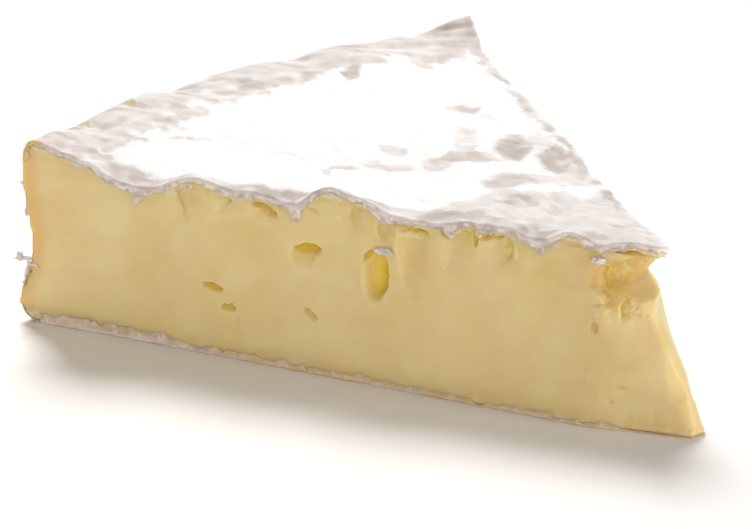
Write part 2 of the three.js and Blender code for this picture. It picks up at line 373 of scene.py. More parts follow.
def corner_gap(place, away):
    """How far the cut stands out from the skin's open edge at the base, whose corner is rounded."""
    if place.z > 3 * MM:
        return 0
    hit = plain_tree.ray_cast(place + UP * 0.9 * MM + away * 5 * MM, -away)[0]
    return max(0, min(1.2 * MM, (hit - place).dot(away))) if hit else 0


def lip_height(place):
    """How far the rind's edge stands out of a cut: nearly flush at the outside."""
    full = 0.9 - 0.78 * on_upright(place)
    height = 0.34 + 0.3 * wave(place, 2.6 * MM, 14) + 0.16 * wave(place, 1.0 * MM, 8)
    return full * max(0.1, height) * MM


# The rolled edge of the rind: how far out of the cut, and how far over it, as shares of height and length
LIP_ROLL = [(0.5, 0.06), (0.9, 0.2), (1.0, 0.4), (0.9, 0.6), (0.65, 0.78), (0.3, 0.92), (-0.35, 1.0)]
LIP_TUCK = (-2.6, 0.8)


def roll_lip(skin):
    """Extrudes the skin's open edge over the cuts as a rounded, ragged lip that tucks into the paste."""
    edit(skin)
    bpy.ops.mesh.select_mode(type="EDGE")
    mesh = bmesh.from_edit_mesh(skin.data)
    for edge in mesh.edges:
        edge.select_set(edge.is_boundary)
    bmesh.update_edit_mesh(skin.data)
    bpy.ops.mesh.subdivide(number_cuts=1)
    leave_edit()
    ring = edge_ring(skin)
    points = [skin.data.vertices[i].co.copy() for i in ring]
    count = len(ring)
    away = [out_of(p) for p in points]
    into = []
    for i in range(count):
        tangent = Vector()
        for step in range(1, 7):
            tangent += points[(i + step) % count] - points[i - step]
        into.append(away[i].cross(tangent).normalized())
    inward = sum(d.dot(on_cut(cut_of(p), 55, 15) - p) for d, p in zip(into, points))
    if inward < 0:
        into = [-d for d in into]
    lengths = [max(0.15 * MM, lip_length(p)) for p in points]
    heights = [lip_height(p) for p in points]
    points = [p + d * corner_gap(p, d) for d, p in zip(away, points)]
    skin.data.attributes.new("edge", "FLOAT", "POINT")
    edit(skin)
    bpy.ops.mesh.select_mode(type="EDGE")
    mesh = bmesh.from_edit_mesh(skin.data)
    order = mesh.verts.layers.int.new("ring")
    mesh.verts.ensure_lookup_table()
    for vertex in mesh.verts:
        vertex[order] = -1
    for i, index in enumerate(ring):
        mesh.verts[index][order] = i
    for edge in mesh.edges:
        edge.select_set(edge.is_boundary)
    bmesh.update_edit_mesh(skin.data)
    for out, over in LIP_ROLL + [LIP_TUCK]:
        bpy.ops.mesh.extrude_edges_move()
        mesh = bmesh.from_edit_mesh(skin.data)
        order = mesh.verts.layers.int["ring"]
        mark = mesh.verts.layers.float["edge"]
        for vertex in mesh.verts:
            if vertex.select:
                i = vertex[order]
                vertex.co = points[i] + away[i] * out * heights[i] + into[i] * over * lengths[i]
                if out > 0:
                    vertex.co += away[i] * 0.25 * wave(vertex.co, 0.9 * MM, 15) * min(MM, 2 * heights[i])
                vertex[mark] = smooth((over - 0.1) * 2.2) if out > -1 else 1
        bmesh.update_edit_mesh(skin.data)
    leave_edit()


def patch(spot, patches, soft):
    """How far a spot of the top lies in the strongest of some patches, with edges of a given softness."""
    most = 0
    for x, y, long, short, heading, strength in patches:
        off = spot - Vector((x, y))
        if off.length < max(long, short) * (1 + soft):
            turn = math.radians(heading)
            ahead = (off.x * math.cos(turn) + off.y * math.sin(turn)) / long
            aside = (off.y * math.cos(turn) - off.x * math.sin(turn)) / short
            most = max(most, strength * (1 - smooth((math.hypot(ahead, aside) - 1 + soft) / (2 * soft))))
    return most


def rind_relief(place, normal):
    """Dents, lumps and wrinkles of the rind, which run round the wheel near its rim."""
    radius = (place - WHEEL_CENTRE).xy.length
    turn = math.atan2(place.y, WHEEL_CENTRE.x - place.x)
    on_top = smooth(normal.z * 2)
    near_rim = smooth((radius - 90 * MM) / (16 * MM)) * on_top
    near_point = smooth((60 * MM - radius) / (20 * MM)) * on_top
    warp = 1.4 * wave(place, 22 * MM, 21)
    lumps = 0.2 * wave(place, 6 * MM, 1) + 0.09 * wave(place, 2.2 * MM, 2) + 0.04 * wave(place, 0.9 * MM, 7)
    lumps += 0.3 * near_point * wave(place, 5 * MM, 22)
    round_wheel = Vector((radius / (4.5 * MM) + turn * 5 + warp, turn * 4.5, place.z / (6 * MM)))
    folds = abs(noise.noise(round_wheel)) * 2
    crossing = Vector((place.x / (13 * MM) + warp, place.y / (5 * MM) - warp, 3))
    creases = abs(noise.noise(crossing)) * 2
    height = lumps * (1 - 0.4 * near_rim) - 0.4 * near_rim * (1 - smooth(folds * 1.3))
    height -= 0.2 * (1 - near_rim) * on_top * (1 - smooth(creases * 2.2))
    if normal.z > 0.5:
        height -= 0.55 * patch((place - WHEEL_CENTRE).xy / MM, SHADED_DENTS, 0.6)
    from_cut = -(place - WHEEL_CENTRE).dot(cut_of(place)["out"])
    height *= 0.7 + 0.3 * smooth(from_cut / (2.5 * MM))
    if normal.z < 0.5:
        height *= 0.12 + 0.88 * smooth((from_cut / MM - 0.4) / 3)
    if place.z < 0.6 * MM:
        height = 0
    return normal * height * MM


def band_width(where):
    """Width of the band of painted shade beside the front cut at a distance along it, in millimetres."""
    for (start, narrow), (end, wide) in zip(SHADED_BAND, SHADED_BAND[1:]):
        if where < end:
            return narrow + (wide - narrow) * max(0, (where - start) / (end - start))
    return SHADED_BAND[-1][1]


def grey_and_painted_shade(place, normal):
    """How grey the rind is: an even mottled grey on the outside and the base, and painted shade in dents of the top,
    at the end near the point, along the rim and beside the cuts.
    """
    cut = cut_of(place)
    flat = (place - WHEEL_CENTRE).xy / MM
    drift = Vector((wave(place, 3 * MM, 31), wave(place, 3 * MM, 32))) * 1.3
    drift += Vector((wave(place, 1 * MM, 33), wave(place, 1 * MM, 34))) * 0.5
    spot = flat + drift
    streak = noise.noise(Vector(((flat.x + flat.y) / 9, (flat.x - flat.y) / 2.6, 5)))
    if normal.z < 0.2 or place.z < 23 * MM:
        return 0.28 + 0.25 * wave(place, 7 * MM, 39) + 0.12 * wave(place, 2 * MM, 35)
    dented = patch(spot, SHADED_DENTS, 0.25)
    from_cut = -(place - WHEEL_CENTRE).dot(cut["out"]) / MM
    width = band_width(along(cut, place) / MM) if cut is FRONT else 1.5
    beside_cut = (0.85 + 0.6 * wave(place, 4 * MM, 40)) * (1 - smooth((from_cut - width + drift.x) / 1.6 + 0.5))
    rim = (0.62 + 0.35 * streak) * smooth((spot.length - WHEEL_RADIUS / MM + SHADED_RIM + 3 * drift.y) / 2.5)
    end = 0.5 * smooth((spot.x - SHADED_END + 2 * drift.y) / 3) * (1 - patch(spot, UNSHADED_SPOTS, 0.25))
    shade_share = max(dented, beside_cut, rim, end) * (1 + 0.25 * wave(place, 2 * MM, 35)) + 0.15 * max(0, streak)
    crest = 0.7 + 0.8 * wave(place, 2.5 * MM, 41) + 0.4 * smooth((from_cut - 0.1) / 1.1)
    return min(1, shade_share) * max(0.45, min(1, crest))


def tan_mould(place, normal):
    """Tan spots of the rim, with ragged outlines."""
    flat = (place - WHEEL_CENTRE).xy / MM
    fray = 0.7 * wave(place, 1.0 * MM, 36) + 0.5 * wave(place, 0.5 * MM, 37)
    near = max(1 - smooth(((flat - Vector((x, y))).length / radius + fray - 0.3) / 0.7) for x, y, radius in TAN_SPOTS)
    return 0.85 * near


def dry_edge(place, normal):
    """1 where paste has rubbed off on the rind's edge: fully at the outside, and partly at the base."""
    cut = cut_of(place)
    out_of_cut = (place - WHEEL_CENTRE).dot(cut["out"]) / MM
    at_top = smooth((place.z / MM - 26) / 3)
    start = 112.6 + (-1.2 if cut is FRONT else 3) * at_top + 0.4 * wave(place, 2 * MM, 38)
    where = along(cut, place) / MM
    at_outside = smooth((where - start) / 0.8)
    if place.z < 5 * MM:
        at_base = 0.35 + 0.35 * smooth((85 - where) / 25) + 0.4 * wave(place, 2.5 * MM, 42)
        at_outside = max(at_outside, min(1, at_base))
    return at_outside * smooth((out_of_cut + 0.9) / 0.6)


def rind():
    """The rind: a skin with relief and rolled edges outside, and a plain inner side."""
    outer = bare_skin("brie_rind")
    inner = bare_skin("inner_side")
    apply_modifier(outer, "SUBSURF", levels=2, render_levels=2)
    move_points(outer, rind_relief)
    roll_lip(outer)
    # Painted shade on the top, in its dents, at its rim, at the end near the point and beside the cuts, and an even
    # grey elsewhere
    paint(outer, "grey_and_painted_shade", grey_and_painted_shade)
    paint(outer, "tan_mould", tan_mould)
    paint(outer, "dry_edge", dry_edge)
    move_points(inner, lambda place, normal: -normal * RIND)
    near_edge = {i: out_of(inner.data.vertices[i].co) for i in edge_ring(inner)}
    for i, away in near_edge.items():
        inner.data.vertices[i].co -= away * 1.1 * MM
    edit(inner)
    bpy.ops.mesh.select_all(action="SELECT")
    bpy.ops.mesh.flip_normals()
    leave_edit()
    whole = join([outer, inner])
    edit(whole)
    bpy.ops.mesh.select_mode(type="EDGE")
    mesh = bmesh.from_edit_mesh(whole.data)
    for edge in mesh.edges:
        edge.select_set(edge.is_boundary)
    bmesh.update_edit_mesh(whole.data)
    bpy.ops.mesh.bridge_edge_loops()
    leave_edit()
    make_active(whole)
    bpy.ops.object.shade_smooth()
    return whole


# Hollows of a cut are given as along and up, half width, half height, depth, tilt and the heading of the steep
# side, where 0 is towards the point and 90 is up, in mm and degrees. First the gas holes of the front cut:
FRONT_HOLES = [
    (50.5, 18.7, 2.4, 3.7, 3.4, 6, 0),
    (51.9, 21.2, 1.0, 1.2, 2.0, 0, 95),
    (63.0, 20.9, 2.3, 1.1, 3.0, 10, 78),
    (63.8, 19.6, 2.1, 1.8, 0.9, 10, 80),
    (80.1, 11.9, 1.7, 0.8, 2.1, -6, 80),
    (77.2, 8.6, 1.3, 0.7, 1.8, 0, 85),
    (62.1, 9.9, 1.3, 0.7, 1.3, -38, 75),
    (11.6, 15.8, 0.6, 0.85, 1.2, 0, 60),
]

# Where the knife tore the front cut, or dented it softly
FRONT_TEARS = [
    (86.0, 26.6, 1.0, 3.0, 0.6, 22, 180),
    (77.9, 28.0, 0.8, 1.2, 0.8, 14, 0),
    (81.3, 28.7, 0.4, 0.9, 0.4, 10, 90),
    (71.9, 27.3, 1.3, 0.7, 1.8, -12, 90),
    (70.1, 26.4, 1.4, 0.7, 1.6, -24, 90),
    (62.1, 27.7, 1.4, 0.4, 0.5, -28, 90),
    (54.5, 27.8, 1.4, 1.5, 0.45, 0, 180),
    (53.0, 29.6, 1.3, 0.4, 0.6, -12, 90),
    (49.3, 26.4, 1.3, 2.0, 0.5, 0, 180),
    (47.6, 27.8, 1.9, 0.6, 2.0, -6, 90),
    (44.2, 27.0, 2.2, 0.6, 2.0, -10, 90),
    (43.4, 21.2, 2.2, 5.0, 0.35, 0, 180),
    (38.7, 27.2, 0.5, 1.2, 1.6, 30, 90),
    (38.6, 27.4, 1.0, 0.35, 0.8, 10, 90),
    (35.0, 26.6, 1.7, 1.6, 0.5, 0, 90),
    (33.6, 27.4, 0.5, 1.4, 1.5, 25, 0),
    (30.6, 27.7, 1.8, 0.6, 1.6, 8, 90),
    (27.7, 26.0, 0.9, 1.6, 0.8, 12, 0),
    (16.4, 28.4, 2.8, 0.6, 0.7, -6, 90),
    (14.0, 26.6, 2.0, 1.6, 0.3, 0, 90),
    (8.6, 23.2, 2.7, 3.4, 1.3, 4, 180),
    (6.6, 19.6, 1.0, 1.8, 1.0, -10, 180),
    (95.4, 12.0, 0.8, 0.8, 0.15, 0, 90),
    (75.5, 6.4, 0.4, 0.8, 0.15, 0, 90),
    (5.9, 6.7, 0.9, 0.3, 0.4, -10, 90),
    (7.7, 4.4, 0.3, 0.3, 0.5, 0, 90),
    (91.5, 25.0, 3.0, 3.0, 0.25, 0, 90),
    (75.0, 22.0, 5.0, 3.0, 0.2, 0, 90),
    (20.0, 20.0, 4.0, 6.0, 0.2, 0, 90),
]

# Flakes of paste that stand proud of the front cut: along and up, half width, half height, thickness, tilt
FRONT_FLAKES = [
    (71.2, 25.0, 1.3, 0.8, 0.16, -15),
    (57.6, 27.0, 0.5, 0.9, 0.15, 20),
    (45.0, 26.0, 2.2, 0.6, 0.3, -6),
    (47.0, 24.6, 0.5, 2.4, 0.2, 0),
    (36.4, 27.6, 0.9, 0.5, 0.3, 25),
    (26.2, 25.8, 0.4, 1.4, 0.25, 14),
    (10.6, 19.0, 1.5, 0.9, 0.35, 20),
    (3.6, 19.6, 1.5, 1.2, 0.35, 0),
    (10.2, 17.6, 1.4, 0.9, 0.2, 10),
    (11.9, 8.0, 0.5, 0.5, 0.12, 0),
]


def lie_on_cut(cut, at, size):
    """The placing of something on a cut, level with the surface around it: X towards the point, Z outwards."""
    distance, up = at
    hits = []
    for i in range(8):
        turn = math.pi * i / 4
        beside = on_cut(cut, distance + 1.3 * size[0] * math.cos(turn), up + 1.3 * size[1] * math.sin(turn), 30)
        hit, normal, index, length = plain_tree.ray_cast(beside, -cut["out"])
        if hit and normal.dot(cut["out"]) > 0.5:
            hits.append((hit, normal))
    if not hits:
        place = plain_tree.find_nearest(on_cut(cut, distance, up))[0]
        hits = [(place, cut["out"])]
    depth = sum((hit for hit, normal in hits), Vector()).dot(cut["out"]) / len(hits)
    facing = sum((normal for hit, normal in hits), Vector()).normalized()
    place = on_cut(cut, distance, up)
    place += cut["out"] * (depth - place.dot(cut["out"]))
    sideways = UP.cross(facing).normalized()
    axes = Matrix((sideways, facing.cross(sideways), facing)).transposed().to_4x4()
    return Matrix.Translation(place) @ axes


def tree_of(pieces, test=None):
    """A search tree over the faces of some pieces that a test picks."""
    points, faces = [], []
    for piece in pieces:
        mesh = piece.data
        first = len(points)
        points += [v.co.copy() for v in mesh.vertices]
        faces += [[first + i for i in f.vertices] for f in mesh.polygons if test is None or test(f.center, f.normal)]
    return BVHTree.FromPolygons(points, faces)


def back_holes(rng):
    """Gas holes scattered over the back cut, in the same way as the front's."""
    holes = []
    for _ in range(9):
        wide = rng.uniform(0.7, 2.4)
        high = wide * rng.uniform(0.45, 1.3)
        place = (rng.uniform(14, 104), rng.uniform(6, 23))
        holes.append((*place, wide, high, wide * 1.2, rng.uniform(-30, 30), rng.uniform(0, 130)))
    return holes


def back_tears(rng):
    """Tears scattered under the rind of the back cut, in the same way as the front's."""
    tears = []
    for _ in range(22):
        place = (rng.uniform(6, 109), rng.uniform(25, 28.5))
        size = (rng.uniform(0.5, 2.2), rng.uniform(0.4, 2.2), rng.uniform(0.3, 1.1))
        tears.append((*place, *size, rng.uniform(-25, 25), rng.choice((0, 90, 90, 180))))
    return tears


def within(cut, place, spots, fray, reach):
    """Spots of a cut that a place lies in, with frayed outlines, and its place there as shares of their size."""
    flat = Vector((along(cut, place) / MM, place.z / MM, 9 * cut["side"]))
    coarse = Vector((wave(flat, 1.3, 51), wave(flat, 1.3, 52))) * 0.45
    stray = (coarse + Vector((wave(flat, 0.5, 53), wave(flat, 0.5, 54))) * 0.2) * fray
    for spot in spots:
        at, height, wide, high, depth, tilt = spot[:6]
        off = Vector((at - flat.x, flat.y - height)) + stray * min(1, wide, high)
        if off.length < reach * max(wide, high):
            turn = math.radians(tilt)
            across = (off.x * math.cos(turn) + off.y * math.sin(turn)) / wide
            above = (off.y * math.cos(turn) - off.x * math.sin(turn)) / high
            yield spot, Vector((across, above))


def scooped(cut, place, spots, fray, softest, crispest):
    """How deep hollows go in at a place, in millimetres, as a ramp down to each one's steep side."""
    depth = 0
    for (*_, deep, tilt, steep), off in within(cut, place, spots, fray, 1.8):
        heading = math.radians(steep - tilt)
        towards = off.x * math.cos(heading) + off.y * math.sin(heading)
        side = towards / max(off.length, 0.3)
        soft = (softest + crispest) / 2 - side * (softest - crispest) / 2
        slope = 1 - smooth((off.length - 1 + soft) / (2 * soft))
        depth = max(depth, deep * slope * (0.5 + 0.5 * max(-1, min(1, towards))))
    return depth


def torn(cut, place):
    """How deep tears and gas holes go into a cut at a place, in millimetres."""
    return max(scooped(cut, place, cut["tears"], 1, 0.7, 0.12), scooped(cut, place, cut["holes"], 0.4, 0.6, 0.05))


def proud(cut, place):
    """How far flakes of paste stand proud of a cut at a place, in millimetres."""
    height = 0
    for spot, off in within(cut, place, cut["flakes"], 1.5, 1.3):
        height = max(height, spot[4] * (1 - smooth((off.length - 0.8) / 0.35)))
    return height


def crumbled(cut, place):
    """1 where the paste of the point has crumbled under the rind."""
    return bump(along(cut, place) / MM - 5, 11) * smooth((place.z / MM - 15) / 5)


def paste():
    """The paste: the plain wedge drawn in under the rind, with tears and gas holes in its cuts."""
    body = plain_copy("brie_paste")
    apply_modifier(body, "REMESH", mode="VOXEL", voxel_size=0.5 * MM)
    thin_out_hidden(body)
    move_points(body, mend_point)
    move_points(body, fill_holes)
    round_point(body)
    split_faces(body, is_detailed)
    split_faces(body, is_finest)
    move_points(body, draw_in)
    move_points(body, knife_marks)
    body.data.materials.clear()
    make_active(body)
    bpy.ops.object.shade_smooth()
    return body


# How far forward of the wheel's centre the paste of the point reaches above its foot, and how much further
# back it's broken at the back cut: up and distance, in mm
POINT_OUTLINE = [
    (13.4, 1.8), (16.2, 0.0), (17.4, -0.7), (19.3, -1.4), (20.9, -1.9), (21.2, -2.0),
    (21.7, -5.4), (22.2, -7.4), (24.4, -6.6), (26.7, -4.4), (28.1, -2.4), (30, -1.5),
]
POINT_SLANT = [(6, 0), (8, 0.3), (12.4, 1.2), (15.6, 1.8), (19.3, 2.1), (21.4, 1.3), (22.4, 0.8), (26, 0), (30, 0)]


def mend_point(place, normal):
    """Moves the broken point to its true outline, keeping it between the two cuts."""
    rel = (place - WHEEL_CENTRE) / MM
    if rel.x < -18 or not POINT_SLANT[0][0] < rel.z < POINT_SLANT[-1][0]:
        return Vector()
    hit = plain_tree.ray_cast(WHEEL_CENTRE + Vector((20, 0, rel.z)) * MM, Vector((-1, 0, 0)))[0]
    blunt = (hit - WHEEL_CENTRE).x / MM
    under_rind = 1 - smooth((rel.z - 28) / 1.2)
    outline = at_height(POINT_OUTLINE, rel.z) if rel.z > POINT_OUTLINE[0][0] else blunt
    slant = at_height(POINT_SLANT, rel.z) * smooth((rel.y + 1.5) / 3)
    ahead = (outline - slant - blunt) * smooth((rel.x - blunt + 8.5) / 8) * under_rind
    apex = FOOT_AHEAD / MM * (1 - rel.z / 30) + 1
    narrower = max(0.1, min(1, (apex - rel.x - ahead) / max(0.1, apex - rel.x)))
    return Vector((ahead, rel.y * (narrower - 1), 0)) * MM


# Round holes in the front cut of the plain wedge: place, and half width and half height
PLAIN_HOLES = [
    ((50.2, 19.2), (2.5, 4.6)), ((63.0, 21.6), (2.7, 1.6)), ((80.3, 11.9), (1.8, 1.1)),
    ((77.3, 8.6), (1.4, 0.9)), ((62.2, 10.3), (1.2, 1.2)), ((12.6, 16.4), (1.0, 1.1)),
]


def fill_holes(place, normal):
    """Levels the plain wedge's round holes with the cut around them, to make room for finer ones."""
    by = Vector()
    for (wide, high), level in plain_levels:
        off = level.inverted() @ place
        near = math.hypot(off.x / wide, off.y / high) / MM
        if near < 1.5 and -6 * MM < off.z < 2 * MM:
            by = level.to_3x3() @ Vector((0, 0, -off.z)) * (1 - smooth((near - 1.2) / 0.3))
    return by


def round_point(body):
    """Rounds the blunt wall of the point, where the two cuts meet, and a little the break above it."""
    for low, high, behind, times in ((1.2, 19, 3.5, 14), (19, 28.4, 11, 4)):
        edit(body)
        bpy.ops.mesh.select_mode(type="VERT")
        mesh = bmesh.from_edit_mesh(body.data)
        for vertex in mesh.verts:
            rel = (vertex.co - WHEEL_CENTRE) / MM
            blunt = FOOT_AHEAD / MM * (1 - rel.z / 30)
            vertex.select_set(rel.x > blunt - behind and low < rel.z < high)
        bmesh.update_edit_mesh(body.data)
        bpy.ops.mesh.vertices_smooth(factor=0.5, repeat=times)
        leave_edit()


def is_detailed(middle, normal):
    """True for faces of the cuts that need fine points: near the rind, at the crumbled point, round hollows."""
    cut = cut_of(middle)
    if normal.dot(cut["out"]) < 0.3:
        return False
    where, up = along(cut, middle) / MM, middle.z / MM
    if cut is FRONT and (up > 25 or up < 2.5 or (where < 15 and up > 15)):
        return True
    small = [spot for spot in cut["tears"] + cut["holes"] + cut["flakes"] if max(spot[2:4]) < 4]
    return any(off.length < 1.3 for _, off in within(cut, middle, small, 0, 1.3))


def is_finest(middle, normal):
    """True for faces in the deeper hollows of the front cut."""
    if middle.y > 0 or normal.dot(FRONT["out"]) < 0.3:
        return False
    deep = [spot for spot in FRONT_TEARS if spot[4] > 0.85]
    return any(off.length < 1.15 for _, off in within(FRONT, middle, FRONT_HOLES + deep, 0, 1.15))


def split_faces(body, test):
    """Cuts the faces that a test picks into four."""
    edit(body)
    pick_faces(body, test)
    bpy.ops.mesh.subdivide(number_cuts=1)
    leave_edit()


def thin_out_hidden(body):
    """Merges points where the rind will cover the paste, so that most of them are left for the cuts."""
    group = body.vertex_groups.new(name="hidden")
    hidden = []
    for vertex in body.data.vertices:
        near, face_normal, index, distance = skin_tree.find_nearest(vertex.co)
        if distance < 0.4 * MM and vertex.normal.dot(face_normal) > 0.8:
            hidden.append(vertex.index)
    group.add(hidden, 1, "REPLACE")
    share = 1 - 0.92 * len(hidden) / len(body.data.vertices)
    apply_modifier(body, "DECIMATE", ratio=share, vertex_group="hidden")
    body.vertex_groups.clear()


def draw_in(place, normal):
    """Draws the paste in under the rind, but hardly beside the cuts and at the base."""
    near, face_normal, index, distance = skin_tree.find_nearest(place)
    away = cut_of(place)["out"]
    from_cut = -(near - WHEEL_CENTRE).dot(away)
    deep = 0.55 + 0.6 * smooth(from_cut / (3 * MM))
    under_lip = 0.15
    if face_normal.z < -0.5:
        deep, under_lip = 0.12 + 0.5 * smooth((from_cut / MM - 1) / 3), 0
    elif face_normal.z < 0.8:
        to_top = smooth(face_normal.z / 0.8)
        deep = to_top * deep + (1 - to_top) * (0.85 * smooth((from_cut / MM - 0.3) / 1.8) - 0.3)
        under_lip = 0.33 * to_top - 0.18
    under_lip *= smooth(normal.dot(away) * 2) * (1 - smooth((distance / MM - 0.8) / 1.2))
    return -face_normal * deep * MM * (1 - smooth(distance / (2.6 * MM))) - away * under_lip * MM


def knife_marks(place, normal):
    """Long shallow waves, tears, flakes and fine grain that the knife left on a cut."""
    cut = cut_of(place)
    facing = smooth((normal.dot(cut["out"]) - 0.3) * 2)
    if facing <= 0:
        return Vector()
    swipe = Vector((along(cut, place) / (14 * MM), place.z / (2.4 * MM), cut["side"] * 4))
    height = 0.12 * noise.noise(swipe) + 0.06 * wave(place, 1.6 * MM, 12) + 0.03 * wave(place, 0.7 * MM, 13)
    height += crumbled(cut, place) * (0.3 * wave(place, 2.8 * MM, 55) + 0.15 * wave(place, 1.0 * MM, 56))
    height += proud(cut, place) - torn(cut, place)
    return cut["out"] * height * facing * MM


# Tufts of mould, as place, size and tilt on the front cut and distance out of it: a flap over the big hole, a
# curled end near the point, fuzz at the outer edge and a few specks, the three tiniest of which are white dots
# that stand for glints of the wet cut, as painted highlights
FRONT_TUFTS_AND_GLINTS = [
    ((49.4, 22.7), (1.5, 0.55, 0.25), -4, 0.15),
    ((11.5, 26.6), (1.3, 0.7, 0.5), 12, 0.25),
    ((88.6, 28.3), (0.5, 0.5, 0.2), 30, 0.1),
    ((115.5, 24.9), (0.9, 0.35, 0.3), 10, -0.7),
    ((115.1, 22.9), (0.4, 1.3, 0.4), 4, -0.7),
    ((115.2, 20.4), (0.45, 1.3, 0.4), -8, -0.7),
    ((115.9, 11.1), (1.9, 0.4, 0.3), 8, -0.6),
    ((117.1, 11.2), (0.6, 0.7, 0.3), 10, -0.6),
    ((114.2, 10.4), (1.1, 0.25, 0.15), -12, 0.0),
    ((115.7, 8.7), (0.5, 1.5, 0.4), -10, -0.8),
    ((115.9, 6.7), (0.7, 0.5, 0.4), 0, -0.8),
    ((89.5, 15.8), (0.22, 0.22, 0.1), 0, 0.02),
    ((46.4, 21.6), (0.2, 0.22, 0.1), 0, 0.02),
    ((38.3, 21.6), (0.2, 0.2, 0.1), 0, 0.02),
    ((10.1, 18.4), (0.3, 0.25, 0.1), 0, 0.1),
]


def lump(cut, at, size, tilt, out, seed):
    """A small ragged tuft that lies on a cut; the tiniest are plain white specks that stand for glints, as painted
    highlights.
    """
    bpy.ops.mesh.primitive_ico_sphere_add(subdivisions=4, radius=1)
    tuft_or_glint = bpy.context.object
    rough = lambda place, normal: place * (0.7 * wave(place, 0.6, seed) + 0.45 * wave(place, 0.25, seed + 1))
    move_points(tuft_or_glint, rough)
    turn = Matrix.Rotation(math.radians(tilt), 4, "Z")
    wide, high, thick = (s * MM for s in size)
    placing = Matrix.Translation(cut["out"] * out * MM) @ lie_on_cut(cut, at, (0.5, 0.5))
    tuft_or_glint.matrix_world = placing @ turn @ Matrix.Diagonal((wide, high, thick, 1))
    settle(tuft_or_glint)
    bpy.ops.object.shade_smooth()
    # Lumps under 0.35 mm wide stay plain white: specks that stand for glints, a painted highlight; the rest get the
    # cut edge's colour
    paint(tuft_or_glint, "edge", lambda place, normal: 0.7 if size[0] > 0.35 else 0)
    return tuft_or_glint


def painted_glow_depth(place, normal):
    """How deep a place lies in a tear or gas hole, from 0 on the open cut to nearly 1 far inside; it sets the ochre
    glow and shade painted there.
    """
    return 1 - math.exp(-torn(cut_of(place), place) / 1.4)


def near_skin(place, normal):
    """1 beside the outside and the base, fading over a few millimetres of paste."""
    near, face_normal, index, distance = skin_tree.find_nearest(place)
    outside = 1 - smooth(max(0, distance / MM - 0.6) / 3.2)
    return outside * (1.0 if abs(face_normal.z) < 0.6 else 0.6)


def shaded_break(place, normal):
    """1 on the broken wall over the point's ledge, which faces forward; shade is painted there as a darker tan."""
    rel = (place - WHEEL_CENTRE) / MM
    in_break = smooth((rel.x + 13) / 2) * smooth((rel.z - 20.6) / 1) * (1 - smooth((rel.z - 27.5) / 1))
    return in_break * smooth((normal.x - 0.35) / 0.4)


def smear(place, normal):
    """How much white mould the knife smeared from the rind's edges over the paste, with ragged ends."""
    near, face_normal, index, distance = skin_tree.find_nearest(place)
    if abs(face_normal.z) < 0.5:
        return 0
    facing = smooth((normal.dot(cut_of(place)["out"]) - 0.3) * 2)
    mean = 1.5 if face_normal.z > 0 else 0.6
    reach = mean + 1.8 * wave(place, 3 * MM, 61) + 1.2 * wave(place, 1 * MM, 62) + 0.5 * wave(place, 0.5 * MM, 63)
    return 0.55 * facing * (1 - smooth((distance / MM - reach) / 0.7 + 0.5))


def srgb(code):
    """A colour given as sRGB hex, as the linear values that a shader takes."""
    parts = [int(code[i : i + 2], 16) / 255 for i in (0, 2, 4)]
    return tuple(c / 12.92 if c <= 0.04045 else ((c + 0.055) / 1.055) ** 2.4 for c in parts) + (1,)


def add_node(tree, kind, settings=None, inputs=None):
    """Adds a shader node; an input is either a value or the socket that feeds it."""
    made = tree.nodes.new(kind)
    for name, value in (settings or {}).items():
        setattr(made, name, value)
    for name, value in (inputs or {}).items():
        if isinstance(value, bpy.types.NodeSocket):
            tree.links.new(value, made.inputs[name])
        else:
            made.inputs[name].default_value = value
    return made


def new_material(name):
    material = bpy.data.materials.new(name)
    material.use_nodes = True
    tree = material.node_tree
    tree.nodes.clear()
    output = add_node(tree, "ShaderNodeOutputMaterial")
    shader = add_node(tree, "ShaderNodeBsdfPrincipled")
    tree.links.new(shader.outputs["BSDF"], output.inputs["Surface"])
    coordinates = add_node(tree, "ShaderNodeTexCoord")
    return material, tree, shader, coordinates.outputs["Object"]


def two_tone(tree, factor, low, dark, high, light):
    """A ramp between two colours."""
    made = add_node(tree, "ShaderNodeValToRGB", None, {"Fac": factor})
    ends = made.color_ramp.elements
    ends[0].position, ends[0].color = low, srgb(dark)
    ends[1].position, ends[1].color = high, srgb(light)
    return made.outputs["Color"]


def blend(tree, factor, first, second):
    """Mixes from the first colour to the second by a factor; a colour is a socket or a hex code."""
    made = tree.nodes.new("ShaderNodeMix")
    made.data_type = "RGBA"
    tree.links.new(factor, made.inputs["Factor"])
    for slot, color in ((6, first), (7, second)):
        if isinstance(color, str):
            made.inputs[slot].default_value = srgb(color)
        else:
            tree.links.new(color, made.inputs[slot])
    return made.outputs[2]


def named_value(tree, name):
    return add_node(tree, "ShaderNodeAttribute", {"attribute_name": name}).outputs["Fac"]


